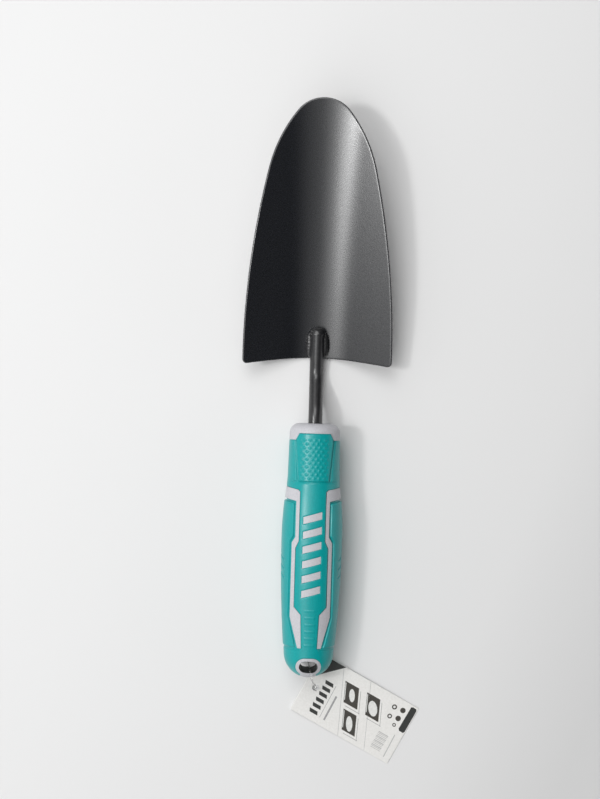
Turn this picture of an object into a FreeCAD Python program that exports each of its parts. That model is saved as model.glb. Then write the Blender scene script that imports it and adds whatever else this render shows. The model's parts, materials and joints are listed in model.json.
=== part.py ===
import FreeCAD, Part
import math
import os

import Sketcher
from FreeCAD import Placement, Rotation, Vector

# Hand trowel. The handle's axis is the Y axis, the tip is towards +Y and +Z is up.
# The origin is the centre of the hang hole, on the handle's axis. Lengths are millimetres.

DIMENSIONS = {
    # what the trowel lies on, below the handle's axis
    "table_depth": 17.1,
    # blade: a pressed sheet, a round valley between two flat wings, that opens out towards the tip
    "sheet_thickness": 1.5,
    "heel_valley_radius": 42.0,
    "heel_wing_angle": 25.5,
    "tip_valley_radius": 58.0,
    "tip_wing_angle": 22.5,
    "wing_reach": 46.0,
    "blade_length": 148.85,
    "blade_half": 42.4,
    "tip_radius": 18.6,
    "tip_heading": 52.0,
    "shoulder_radius": 83.0,
    "shoulder_heading": 77.0,
    "flank_radius": 480.0,
    "heel_corner": 2.6,
    "heel_sag": 1.6,
    "blade_pitch": 11.3,
    "heel_place": 174.8,
    # tang: a cranked round bar
    "bar_radius": 4.0,
    "tang_tail": 28.3,
    "tang_crank": 144.0,
    "tang_landing": 163.6,
    "tang_end": 188.7,
    "tang_pitch": 11.4,
    "tang_bend": 14.0,
    "tang_lift": 4.03,
    "flat_length": 18.0,
    "flat_half": 2.8,
    # weld beads
    "bead_length": 7.4,
    "bead_width": 2.6,
    "bead_height": 2.4,
    "bead_offset": 4.3,
    "bead_rise": 1.5,
    "bead_middle": 182.4,
    "end_bead_width": 4.7,
    "end_bead_length": 3.6,
    "end_bead_height": 4.5,
    "end_bead_rise": 3.5,
    "end_bead_lead": 0.2,
    # handle, turned about its axis
    "butt_place": -7.6,
    "dome_radius": 14.2,
    "belly_place": 71.7,
    "belly_radius": 17.1,
    "belly_rear_arc": 732.0,
    "belly_front_arc": 235.0,
    "neck_start": 98.8,
    "neck_start_radius": 15.53,
    "neck_arc": 106.0,
    "neck_end": 110.3,
    "neck_end_radius": 14.8,
    "collar_front": 137.2,
    "collar_radius": 14.4,
    "collar_round": 5.5,
    "skin": 2.0,
    "core_nose": 135.0,
    # hang hole, a slot through the butt from top to bottom, and its ring
    "hole_half_width": 5.2,
    "hole_half_height": 3.5,
    "ring_half_width": 7.2,
    "ring_half_height": 5.2,
    "ring_tongue_half": 4.4,
    # thumb pad, a raised trapezium on the sleeve's top
    "pad_front": 127.9,
    "pad_rear": 104.7,
    "pad_front_half": 10.4,
    "pad_rear_half": 8.5,
    "pad_raise": 0.6,
    "pad_root": 0.6,
    "sleeve_front": 131.7,
    "sleeve_front_half": 8.8,
    "sleeve_shoulder_half": 10.8,
    "sleeve_shoulder": 127.9,
    # grey inlay lines: a band round the flank, a strip that jogs outwards, a wedge to the rear
    "band_top": 99.9,
    "band_bottom": 93.6,
    "band_flare": 2.0,
    "band_corner": 1.1,
    "strip_inner": 7.5,
    "strip_outer": 9.4,
    "strip_low_inner": 9.3,
    "strip_low_outer": 11.3,
    "jog_inner_top": 71.3,
    "jog_inner_low": 67.3,
    "jog_outer_top": 73.5,
    "jog_outer_low": 70.2,
    "wedge_top": 34.1,
    "wedge_shoulder": 29.8,
    "wedge_flare": 28.2,
    "wedge_inner": 5.3,
    "wedge_tip_inner": 4.6,
    "wedge_tip_outer": 6.6,
    "wedge_end": 10.9,
    # side pads
    "seam_place": 9.7,
    "rib_width": 1.3,
    "rib_depth": 0.8,
    "rib_first": 61.0,
    "rib_pitch": 5.0,
    "rib_count": 3,
    "rib_slant": 20.0,
    "rib_reach": 8.0,
    # emblem bars, where the core shows through the sleeve
    "bar_count": 6,
    "bar_first": 86.4,
    "bar_pitch": 8.3,
    "bar_half": 5.2,
    "bar_thick": 4.0,
    "bar_slant": 3.0,
    # swing tag and its loop
    "tag_length": 65.2,
    "tag_width": 37.2,
    "tag_thickness": 0.5,
    "tag_turn": -28.1,
    "eyelet_across": 5.02,
    "eyelet_along": -16.7,
    "eyelet_inset": 6.8,
    "eyelet_side": 19.0,
    "eyelet_radius": 2.0,
    "eyelet_clear": 1.3,
    "strand_radius": 0.5,
    "strand_lift": 0.55,
    "loop_turn": 15.8,
    "loop_bend": 3.0,
    "loop_top_bend": 2.1,
    "loop_top": 12.2,
    "loop_near": -2.0,
    "loop_far": 19.8,
    "loop_top_near": 10.6,
    "loop_top_far": 15.0,
}

doc = FreeCAD.newDocument("HandTrowel")
sheet = doc.addObject("Spreadsheet::Sheet", "Dims")
for row, (alias, value) in enumerate(DIMENSIONS.items(), start=1):
    sheet.set(f"A{row}", alias)
    sheet.set(f"B{row}", str(value))
    sheet.setAlias(f"B{row}", alias)
doc.recompute()


def size(expression):
    """The value of an expression over the sheet's cells."""
    return float(sheet.evalExpression(expression))


def bound(owner, sizes):
    """Binds each property of the owner to an expression over the sheet."""
    for name, expression in sizes.items():
        owner.setExpression(name, expression)
    return owner


def arc_between(start, finish, radius, turn):
    """The short arc from start to finish; turn is +1 where it runs anticlockwise, -1 clockwise."""
    chord = finish - start
    across = Vector(-chord.y, chord.x, 0).normalize()
    centre = (start + finish) * 0.5 + across * turn * math.sqrt(radius**2 - (chord.Length / 2) ** 2)
    first, last = (start, finish) if turn > 0 else (finish, start)
    angles = [math.atan2(point.y - centre.y, point.x - centre.x) for point in (first, last)]
    return Part.ArcOfCircle(Part.Circle(centre, Vector(0, 0, 1), radius), angles[0], angles[1])


def outline(sketch, corners, arcs=None, closed=True):
    """Draws sides through the corners, each a pair of expressions over the sheet.

    arcs gives the sides that are round, by the number of the corner they leave: (radius expression, turn).
    Every corner's place and every radius is a constraint bound to its expression.
    """
    arcs = arcs or {}
    points = [Vector(size(x), size(y), 0) for x, y in corners]
    last_side = len(points) if closed else len(points) - 1
    sides = []
    for side in range(last_side):
        start, finish = points[side], points[(side + 1) % len(points)]
        if side in arcs:
            radius, turn = arcs[side]
            number = sketch.addGeometry(arc_between(start, finish, size(radius), turn))
            sketch.addConstraint(Sketcher.Constraint("Radius", number, size(radius)))
            sketch.setExpression(f"Constraints[{sketch.ConstraintCount - 1}]", radius)
            sides.append((number, 1, 2) if turn > 0 else (number, 2, 1))
        else:
            number = sketch.addGeometry(Part.LineSegment(start, finish))
            sides.append((number, 1, 2))
    for side in range(last_side):
        number, _, end = sides[side]
        if closed or side + 1 < last_side:
            following, begin, _ = sides[(side + 1) % last_side]
            sketch.addConstraint(Sketcher.Constraint("Coincident", number, end, following, begin))
    ends = [(side[0], side[1]) for side in sides]
    if not closed:
        ends.append((sides[-1][0], sides[-1][2]))
    for (number, end), point, corner in zip(ends, points, corners):
        for kind, axis, value, expression in (
            ("DistanceX", -2, point.x, corner[0]),
            ("DistanceY", -1, point.y, corner[1]),
        ):
            if expression == "0":
                sketch.addConstraint(Sketcher.Constraint("PointOnObject", number, end, axis))
            else:
                sketch.addConstraint(Sketcher.Constraint(kind, number, end, value))
                sketch.setExpression(f"Constraints[{sketch.ConstraintCount - 1}]", expression)
    return sketch


def plain_sketch(name, placement=None):
    """A sketch of its own, in the XY plane unless it is placed."""
    sketch = doc.addObject("Sketcher::SketchObject", name)
    if placement:
        sketch.Placement = placement
    return sketch


def body_sketch(body, name, role):
    """A sketch on one of the body's own origin planes."""
    sketch = body.newObject("Sketcher::SketchObject", name)
    plane = next(item for item in body.Origin.OriginFeatures if item.Role == role)
    sketch.AttachmentSupport = [(plane, "")]
    sketch.MapMode = "FlatFace"
    return sketch


def turned(name, profile):
    """A solid turned about the handle's axis."""
    solid = doc.addObject("Part::Revolution", name)
    solid.Source = profile
    solid.Axis = Vector(0, 1, 0)
    solid.Base = Vector(0, 0, 0)
    solid.Angle = 360
    solid.Solid = True
    return solid


def prism(name, sketch, up, down):
    """An upright prism on a plan outline, from down below the XY plane to up above it."""
    solid = doc.addObject("Part::Extrusion", name)
    solid.Base = sketch
    solid.DirMode = "Custom"
    solid.Dir = Vector(0, 0, 1)
    solid.Solid = True
    solid.LengthFwd = up
    solid.LengthRev = down
    return solid


def cut(name, base, tool):
    result = doc.addObject("Part::Cut", name)
    result.Base = base
    result.Tool = tool
    return result


def common(name, base, tool):
    result = doc.addObject("Part::Common", name)
    result.Base = base
    result.Tool = tool
    return result


def fuse(name, shapes):
    result = doc.addObject("Part::MultiFuse", name)
    result.Shapes = shapes
    return result


def mirrored(corners):
    """The same outline on the other side of the handle's axis."""
    return [(f"-({x})", y) for x, y in corners]


FULL = 40.0  # more than the handle's radius: prisms of this height pass right through it
OVER = 3.0  # how far a cutting shape runs on past the surface that it cuts
BEYOND_FLANK = f"Dims.belly_radius + {OVER}"
# the height of the sheet's upper face at its heel
HEEL_HEIGHT = "Dims.sheet_thickness / cos(Dims.blade_pitch) - Dims.table_depth"


def sheet_section(end, place):
    """The sheet's section near one end of the blade: a round valley between two flat wings."""
    radius, angle = f"Dims.{end}_valley_radius", f"Dims.{end}_wing_angle"
    inner = (f"{radius} * sin({angle})", f"{radius} * (1 - cos({angle}))")
    outer_radius = f"({radius} + Dims.sheet_thickness)"
    outer = (f"{outer_radius} * sin({angle})", f"{radius} - {outer_radius} * cos({angle})")
    inner_edge = ("Dims.wing_reach", f"{inner[1]} + (Dims.wing_reach - {inner[0]}) * tan({angle})")
    outer_edge = (
        f"Dims.wing_reach + Dims.sheet_thickness * sin({angle})",
        f"{inner_edge[1]} - Dims.sheet_thickness * cos({angle})",
    )
    right = [inner, inner_edge, outer_edge, outer]
    left = mirrored([outer, outer_edge, inner_edge, inner])
    section = plain_sketch(f"{end}_section", Placement(Vector(0, 0, 0), Rotation(Vector(1, 0, 0), 90)))
    outline(section, right + left, {3: (outer_radius, -1), 7: (radius, 1)})
    return bound(section, {"Placement.Base.y": place})


def make_blade():
    """A sheet run straight from its heel section to its tip section, cut to its plan and pitched nose-up."""
    sheet_body = doc.addObject("Part::Loft", "BladeSheet")
    sheet_body.Sections = [
        sheet_section("heel", f"-{OVER}"),
        sheet_section("tip", f"Dims.blade_length + {OVER}"),
    ]
    sheet_body.Solid = True
    sheet_body.Ruled = True

    plan = plain_sketch("BladePlan")
    nose = (
        "Dims.tip_radius * sin(Dims.tip_heading)",
        "Dims.blade_length - Dims.tip_radius * (1 - cos(Dims.tip_heading))",
    )
    shoulder = (
        f"{nose[0]} + Dims.shoulder_radius * (sin(Dims.shoulder_heading) - sin(Dims.tip_heading))",
        f"{nose[1]} - Dims.shoulder_radius * (cos(Dims.tip_heading) - cos(Dims.shoulder_heading))",
    )
    flank = ("Dims.blade_half", f"{shoulder[1]} - Dims.flank_radius * cos(Dims.shoulder_heading)")
    corner = ("Dims.blade_half", "Dims.heel_corner - Dims.heel_sag")
    heel = ("Dims.blade_half - Dims.heel_corner", "-Dims.heel_sag")
    heel_arc = f"(({heel[0]}) * ({heel[0]}) + Dims.heel_sag * Dims.heel_sag) / (2 * Dims.heel_sag)"
    side = [heel, corner, flank, shoulder, nose]
    tip = [("0", "Dims.blade_length")]
    rounds = {
        0: ("Dims.heel_corner", 1),
        2: ("Dims.flank_radius", 1),
        3: ("Dims.shoulder_radius", 1),
        4: ("Dims.tip_radius", 1),
        5: ("Dims.tip_radius", 1),
        6: ("Dims.shoulder_radius", 1),
        7: ("Dims.flank_radius", 1),
        9: ("Dims.heel_corner", 1),
        10: (heel_arc, -1),
    }
    outline(plan, side + tip + mirrored(side[::-1]), rounds)
    blade = common("blade", sheet_body, prism("BladeTrim", plan, FULL, FULL))
    pitch = Rotation(Vector(1, 0, 0), size("Dims.blade_pitch"))
    blade.Placement = Placement(Vector(0, 0, 0), pitch)
    bound(
        blade,
        {
            "Placement.Base.y": "Dims.heel_place",
            "Placement.Base.z": HEEL_HEIGHT,
        },
    )
    return blade


def make_tang():
    """A round bar swept along straight runs and two bends, with two flats on its tail."""
    body = doc.addObject("PartDesign::Body", "tang")
    route = body_sketch(body, "TangRoute", "YZ_Plane")
    valley = f"{HEEL_HEIGHT} + Dims.tang_lift / cos(Dims.blade_pitch)"
    landing = f"({valley}) + (Dims.tang_landing - Dims.heel_place) * tan(Dims.tang_pitch)"
    end = f"({valley}) + (Dims.tang_end - Dims.heel_place) * tan(Dims.tang_pitch)"
    points = [
        Vector(size("Dims.tang_tail"), 0, 0),
        Vector(size("Dims.tang_crank"), 0, 0),
        Vector(size("Dims.tang_landing"), size(landing), 0),
        Vector(size("Dims.tang_end"), size(end), 0),
    ]
    bend = size("Dims.tang_bend")
    corners, arcs = [("Dims.tang_tail", "0")], {}
    for before, here, after in zip(points, points[1:], points[2:]):
        back, ahead = (before - here).normalize(), (after - here).normalize()
        half_turn = (math.pi - back.getAngle(ahead)) / 2
        setback = bend * math.tan(half_turn)
        entry, leave = here + back * setback, here + ahead * setback
        turn = 1 if (here - before).cross(after - here).z > 0 else -1
        arcs[len(corners)] = ("Dims.tang_bend", turn)
        entry_height = repr(entry.y) if abs(entry.y) > 1e-6 else "0"
        corners += [(repr(entry.x), entry_height), (repr(leave.x), repr(leave.y))]
    corners.append(("Dims.tang_end", end))
    outline(route, corners, arcs, closed=False)
    section = body_sketch(body, "TangSection", "XZ_Plane")
    section.AttachmentOffset = Placement(Vector(0, 0, -size("Dims.tang_tail")), Rotation())
    section.addGeometry(Part.Circle(Vector(0, 0, 0), Vector(0, 0, 1), size("Dims.bar_radius")))
    section.addConstraint(Sketcher.Constraint("Coincident", 0, 3, -1, 1))
    section.addConstraint(Sketcher.Constraint("Radius", 0, size("Dims.bar_radius")))
    section.setExpression("Constraints[1]", "Dims.bar_radius")
    doc.recompute()
    bar = body.newObject("PartDesign::AdditivePipe", "TangBar")
    bar.Profile = section
    bar.Spine = (route, [])
    doc.recompute()
    flats = body_sketch(body, "TangFlats", "XY_Plane")
    for sign in ("", "-"):
        inside, outside = f"{sign}Dims.flat_half", f"{sign}(Dims.bar_radius + {OVER})"
        first, last = f"Dims.tang_tail - {OVER}", "Dims.tang_tail + Dims.flat_length"
        outline(flats, [(inside, first), (outside, first), (outside, last), (inside, last)])
    pocket = body.newObject("PartDesign::Pocket", "TangFlatCut")
    pocket.Profile = flats
    pocket.Midplane = True
    pocket.Length = FULL
    return body


def handle_profile(name, inset):
    """Half the handle's section, set in by inset: a dome, a long belly, a waist and a rounded nose."""
    rear = f"Dims.butt_place + {inset}"
    dome_end = "Dims.butt_place + Dims.dome_radius"
    corners = [
        ("0", rear),
        (f"Dims.dome_radius - {inset}", dome_end),
        (f"Dims.belly_radius - {inset}", "Dims.belly_place"),
        (f"Dims.neck_start_radius - {inset}", "Dims.neck_start"),
        (f"Dims.neck_end_radius - {inset}", "Dims.neck_end"),
    ]
    arcs = {
        0: (f"Dims.dome_radius - {inset}", 1),
        1: (f"Dims.belly_rear_arc - {inset}", 1),
        2: (f"Dims.belly_front_arc - {inset}", 1),
        3: (f"Dims.neck_arc + {inset}", -1),
    }
    if inset == "0":
        corners += [
            ("Dims.collar_radius", "Dims.collar_front - Dims.collar_round"),
            ("Dims.collar_radius - Dims.collar_round", "Dims.collar_front"),
            ("0", "Dims.collar_front"),
        ]
        arcs[5] = ("Dims.collar_round", 1)
    else:
        corners += [(f"Dims.collar_radius - {inset}", "Dims.core_nose"), ("0", "Dims.core_nose")]
    return outline(plain_sketch(name), corners, arcs)


def inlay_windows():
    """The grey lines on both sides, wider than the handle where the band wraps round its flank."""
    line = [
        (BEYOND_FLANK, "Dims.band_top + Dims.band_flare"),
        ("Dims.strip_inner + Dims.band_corner", "Dims.band_top"),
        ("Dims.strip_inner", "Dims.band_top - Dims.band_corner"),
        ("Dims.strip_inner", "Dims.jog_inner_top"),
        ("Dims.strip_low_inner", "Dims.jog_inner_low"),
        ("Dims.strip_low_inner", "Dims.wedge_top"),
        ("Dims.wedge_inner", "Dims.wedge_shoulder"),
        ("Dims.wedge_tip_inner", "Dims.wedge_end"),
        ("Dims.wedge_tip_outer", "Dims.wedge_end"),
        ("Dims.strip_low_outer", "Dims.wedge_flare"),
        ("Dims.strip_low_outer", "Dims.jog_outer_low"),
        ("Dims.strip_outer", "Dims.jog_outer_top"),
        ("Dims.strip_outer", "Dims.band_bottom"),
        (BEYOND_FLANK, "Dims.band_bottom + Dims.band_flare"),
    ]
    sketches = [outline(plain_sketch("InlayRight"), line), outline(plain_sketch("InlayLeft"), mirrored(line))]
    return [prism(f"{sketch.Name}Window", sketch, FULL, FULL) for sketch in sketches]


def pad_window(name, side):
    """The plan area of one side pad: out from the middle of the grey lines, ahead of the seam at the butt."""
    upper = "(Dims.strip_inner + Dims.strip_outer) / 2"
    lower = "(Dims.strip_low_inner + Dims.strip_low_outer) / 2"
    tip = "(Dims.wedge_tip_inner + Dims.wedge_tip_outer) / 2"
    band = "(Dims.band_top + Dims.band_bottom) / 2"
    area = [
        (BEYOND_FLANK, band),
        (upper, band),
        (upper, "(Dims.jog_inner_top + Dims.jog_outer_top) / 2"),
        (lower, "(Dims.jog_inner_low + Dims.jog_outer_low) / 2"),
        (lower, "Dims.wedge_top"),
        (tip, "Dims.wedge_end"),
        (tip, "Dims.seam_place"),
        (BEYOND_FLANK, "Dims.seam_place"),
    ]
    corners = area if side > 0 else mirrored(area)
    return prism(f"{name}Window", outline(plain_sketch(f"{name}Area"), corners), FULL, FULL)


def emblem_windows():
    """A ladder of slanted bars on the top of the grip."""
    windows = []
    for number in range(int(size("Dims.bar_count"))):
        place = f"Dims.bar_first - {number} * Dims.bar_pitch"
        corners = [
            ("Dims.bar_half", f"{place} + Dims.bar_slant / 2"),
            ("-Dims.bar_half", f"{place} - Dims.bar_slant / 2"),
            ("-Dims.bar_half", f"{place} - Dims.bar_slant / 2 - Dims.bar_thick"),
            ("Dims.bar_half", f"{place} + Dims.bar_slant / 2 - Dims.bar_thick"),
        ]
        area = outline(plain_sketch(f"Emblem{number}"), corners)
        windows.append(prism(f"EmblemWindow{number}", area, FULL, 0))
    return windows


def collar_window():
    """Everything ahead of the sleeve's stepped front edge."""
    right = [
        (BEYOND_FLANK, "Dims.sleeve_shoulder"),
        (BEYOND_FLANK, f"Dims.collar_front + {OVER}"),
    ]
    step = [
        ("Dims.sleeve_front_half", "Dims.sleeve_front"),
        ("Dims.sleeve_shoulder_half", "Dims.sleeve_shoulder"),
    ]
    corners = step + right + mirrored(right[::-1]) + mirrored(step[::-1])
    return prism("CollarWindow", outline(plain_sketch("CollarArea"), corners), FULL, FULL)


def slot_prism(name, half_width, half_height):
    """An upright prism on a slot with round ends, centred on the origin and lying across the handle."""
    straight = f"({half_width} - {half_height})"
    middle = doc.addObject("Part::Box", f"{name}Middle")
    bound(
        middle,
        {
            "Length": f"2 * {straight}",
            "Width": f"2 * {half_height}",
            "Placement.Base.x": f"-{straight}",
            "Placement.Base.y": f"-{half_height}",
        },
    )
    ends = [doc.addObject("Part::Cylinder", f"{name}End") for _ in range(2)]
    for end, sign in zip(ends, ("", "-")):
        bound(end, {"Radius": half_height, "Placement.Base.x": f"{sign}{straight}"})
    for piece in [middle] + ends:
        piece.Height = 2 * FULL
        piece.Placement.Base.z = -FULL
    return fuse(name, [middle] + ends)


def ring_window():
    """The ring round the hang hole, carried on over the end of the butt."""
    ring = slot_prism("RingWindow", "Dims.ring_half_width", "Dims.ring_half_height")
    tongue = doc.addObject("Part::Box", "RingTongue")
    bound(
        tongue,
        {
            "Length": "2 * Dims.ring_tongue_half",
            "Width": f"{OVER} - Dims.butt_place",
            "Placement.Base.x": "-Dims.ring_tongue_half",
            "Placement.Base.y": f"Dims.butt_place - {OVER}",
        },
    )
    tongue.Height = 2 * FULL
    tongue.Placement.Base.z = -FULL
    return fuse("RingArea", [ring, tongue])


def rib_cutters(side):
    """Slanted grooves across the flank of one side pad."""
    cutters = []
    start = "Dims.belly_radius - Dims.rib_depth" if side > 0 else f"-{BEYOND_FLANK.replace('+', '-')}"
    for number in range(int(size("Dims.rib_count"))):
        groove = doc.addObject("Part::Box", "RibGroove")
        bound(
            groove,
            {
                "Length": f"Dims.rib_depth + {OVER}",
                "Width": "Dims.rib_width",
                "Placement.Base.x": start,
                "Placement.Base.y": f"Dims.rib_first - {number} * Dims.rib_pitch",
            },
        )
        bound(groove, {"Height": "2 * Dims.rib_reach", "Placement.Base.z": "-Dims.rib_reach"})
        groove.Placement.Rotation = Rotation(Vector(1, 0, 0), size("Dims.rib_slant"))
        cutters.append(groove)
    return fuse("RibGrooves", cutters)


def make_handle(tang):
    """Core, sleeve and side pads, all cut from the same turned outline, so that their faces meet."""
    outside = turned("HandleOutside", handle_profile("OutsideProfile", "0"))
    inside = turned("CoreInside", handle_profile("InsideProfile", "Dims.skin"))
    windows = inlay_windows() + emblem_windows() + [collar_window(), ring_window()]
    soft = cut("SoftSkin", cut("Shell", outside, inside), fuse("Windows", windows))
    hole = slot_prism("HangHole", "Dims.hole_half_width", "Dims.hole_half_height")
    pads = []
    for side, name in ((-1, "side_pad_left"), (1, "side_pad_right")):
        area = common(f"{name}_blank", soft, pad_window(name, side))
        pads.append(cut(name, area, rib_cutters(side)))
    areas = fuse("PadBlanks", [pad.Base for pad in pads])
    sleeve = fuse("grip_sleeve", [cut("SleeveBlank", cut("SleeveSkin", soft, areas), hole), make_thumb_pad()])
    openings = fuse("CoreOpenings", [hole, tang])
    core = cut("handle_core", cut("CoreBlank", outside, soft), openings)
    return core, sleeve, pads


def make_thumb_pad():
    """The raised trapezium: the part of a larger turned shape that stands on the sleeve's top."""
    body = doc.addObject("PartDesign::Body", "ThumbPad")
    area = body_sketch(body, "ThumbPadArea", "XY_Plane")
    corners = [
        ("Dims.pad_front_half", "Dims.pad_front"),
        ("-Dims.pad_front_half", "Dims.pad_front"),
        ("-Dims.pad_rear_half", "Dims.pad_rear"),
        ("Dims.pad_rear_half", "Dims.pad_rear"),
    ]
    outline(area, corners)
    pad = body.newObject("PartDesign::Pad", "ThumbPadBlock")
    pad.Profile = area
    pad.Length = FULL
    doc.recompute()
    tubes = []
    radii = {
        "PadOuter": "Dims.neck_end_radius + Dims.pad_raise",
        "PadInner": "Dims.neck_end_radius - Dims.pad_root",
    }
    for name, radius in radii.items():
        tube = doc.addObject("Part::Cylinder", name)
        tube.Placement = Placement(Vector(0, 0, 0), Rotation(Vector(1, 0, 0), -90))
        bound(
            tube,
            {
                "Radius": radius,
                "Height": f"Dims.pad_front - Dims.pad_rear + 2 * {OVER}",
                "Placement.Base.y": f"Dims.pad_rear - {OVER}",
            },
        )
        tubes.append(tube)
    return common("ThumbPadSolid", cut("PadTube", *tubes), body)


def bead(name, halves, place, tools):
    """A weld bead: an ellipsoid lying in the valley, cut back to the faces of the bar and the sheet."""
    lump = doc.addObject("Part::Ellipsoid", f"{name}_lump")
    across, along, rise = (size(expression) for expression in place)
    pitch = size("Dims.tang_pitch")
    height = size(HEEL_HEIGHT) + (along - size("Dims.heel_place")) * math.tan(math.radians(pitch)) + rise
    lump.Placement = Placement(Vector(across, along, height), Rotation(Vector(1, 0, 0), pitch))
    bound(lump, {"Radius1": halves[0], "Radius2": halves[1], "Radius3": halves[2]})
    return cut(name, lump, tools)


def make_welds(tang, blade):
    faces = fuse("WeldedFaces", [tang, blade])
    flank = ("Dims.bead_height", "Dims.bead_width", "Dims.bead_length")
    left = bead("weld_bead_left", flank, ("-Dims.bead_offset", "Dims.bead_middle", "Dims.bead_rise"), faces)
    right = bead("weld_bead_right", flank, ("Dims.bead_offset", "Dims.bead_middle", "Dims.bead_rise"), faces)
    cap = ("Dims.end_bead_height", "Dims.end_bead_width", "Dims.end_bead_length")
    cap_place = ("0", "Dims.tang_end + Dims.end_bead_lead", "Dims.end_bead_rise")
    end = bead("weld_bead_end", cap, cap_place, fuse("SideBeads", [faces, left, right]))
    return left, right, end


def make_tag():
    """A card with an eyelet, lying on the table at its far end and lifted by the loop at its near end."""
    body = doc.addObject("PartDesign::Body", "swing_tag")
    area = body_sketch(body, "TagArea", "XY_Plane")
    near, far = "-Dims.eyelet_inset", "Dims.tag_length - Dims.eyelet_inset"
    left, right = "Dims.eyelet_side", "Dims.eyelet_side - Dims.tag_width"
    outline(area, [(near, right), (far, right), (far, left), (near, left)])
    area.addGeometry(Part.Circle(Vector(0, 0, 0), Vector(0, 0, 1), size("Dims.eyelet_radius")))
    area.addConstraint(Sketcher.Constraint("Coincident", 4, 3, -1, 1))
    area.addConstraint(Sketcher.Constraint("Radius", 4, size("Dims.eyelet_radius")))
    area.setExpression(f"Constraints[{area.ConstraintCount - 1}]", "Dims.eyelet_radius")
    card = body.newObject("PartDesign::Pad", "TagCard")
    card.Profile = area
    bound(card, {"Length": "Dims.tag_thickness"})
    tilt = math.degrees(math.asin(size("Dims.eyelet_clear / (Dims.tag_length - Dims.eyelet_inset)")))
    turn = Rotation(Vector(0, 0, 1), size("Dims.tag_turn"))
    lift = size("Dims.eyelet_clear - Dims.table_depth")
    eyelet = Vector(size("Dims.eyelet_across"), size("Dims.eyelet_along"), lift)
    body.Placement = Placement(eyelet, turn.multiply(Rotation(Vector(0, 1, 0), tilt)))
    return body


def make_loop():
    """A closed strand in one upright plane, up through the hang hole and down through the card."""
    low = size("Dims.strand_lift - Dims.table_depth")
    top = size("Dims.loop_top")
    corners = [
        (Vector(size("Dims.loop_near"), low, 0), "Dims.loop_bend"),
        (Vector(size("Dims.loop_far"), low, 0), "Dims.loop_bend"),
        (Vector(size("Dims.loop_top_far"), top, 0), "Dims.loop_top_bend"),
        (Vector(size("Dims.loop_top_near"), top, 0), "Dims.loop_top_bend"),
    ]
    edges, entries = [], []
    for number, (here, bend) in enumerate(corners):
        before, after = corners[number - 1][0], corners[(number + 1) % len(corners)][0]
        back, ahead = (before - here).normalize(), (after - here).normalize()
        radius = size(bend)
        setback = radius * math.tan((math.pi - back.getAngle(ahead)) / 2)
        entry, leave = here + back * setback, here + ahead * setback
        middle_way = (back + ahead).normalize()
        centre = here + middle_way * math.hypot(radius, setback)
        entries.append((entry, centre - middle_way * radius, leave))
    for number, (entry, middle, leave) in enumerate(entries):
        following = entries[(number + 1) % len(entries)][0]
        edges.append(Part.Arc(entry, middle, leave).toShape())
        edges.append(Part.LineSegment(leave, following).toShape())
    route = Part.Wire(edges)
    start = entries[0][2]
    ring = Part.makeCircle(size("Dims.strand_radius"), start, Vector(1, 0, 0))
    solid = Part.Solid(route.makePipeShell([Part.Wire(ring)], False, True))
    if not solid.isClosed() or solid.Volume < 0:
        solid.reverse()
    loop = doc.addObject("Part::Feature", "tag_loop")
    loop.Shape = solid
    stand_up = Rotation(Vector(0, 0, 1), 90 + size("Dims.loop_turn")).multiply(Rotation(Vector(1, 0, 0), 90))
    loop.Placement = Placement(Vector(size("Dims.eyelet_across"), size("Dims.eyelet_along"), 0), stand_up)
    return loop


def check(nodes):
    """Stops unless every object came out and every node is one valid solid."""
    failed = [item.Name for item in doc.Objects if {"Invalid", "Error"} & set(item.State)]
    if failed:
        raise RuntimeError(f"these objects did not recompute: {failed}")
    for name, node in nodes.items():
        shape = node.Shape
        if shape.isNull() or not shape.isValid():
            raise RuntimeError(f"{name} has no valid shape")
        box = shape.BoundBox
        print(
            f"{name:16} solids {len(shape.Solids)} volume {shape.Volume:9.1f} "
            f"x {box.XMin:7.2f} {box.XMax:7.2f} y {box.YMin:7.2f} {box.YMax:7.2f} "
            f"z {box.ZMin:7.2f} {box.ZMax:7.2f}"
        )


def main():
    blade = make_blade()
    tang = make_tang()
    doc.recompute()
    core, sleeve, pads = make_handle(tang)
    welds = make_welds(tang, blade)
    tag, loop = make_tag(), make_loop()
    parts = [blade, tang, *welds, core, sleeve, *pads, loop, tag]
    for part in parts:
        part.Label = part.Name
    doc.recompute()
    nodes = {part.Label: part for part in parts}
    check(nodes)
    os.makedirs("parts", exist_ok=True)
    for name, node in nodes.items():
        node.Shape.exportStep(f"parts/{name}.step")


main()
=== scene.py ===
import json
import math

import bpy
import numpy as np
from mathutils import Matrix, Vector
from mathutils.geometry import delaunay_2d_cdt
from mathutils.kdtree import KDTree

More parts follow.
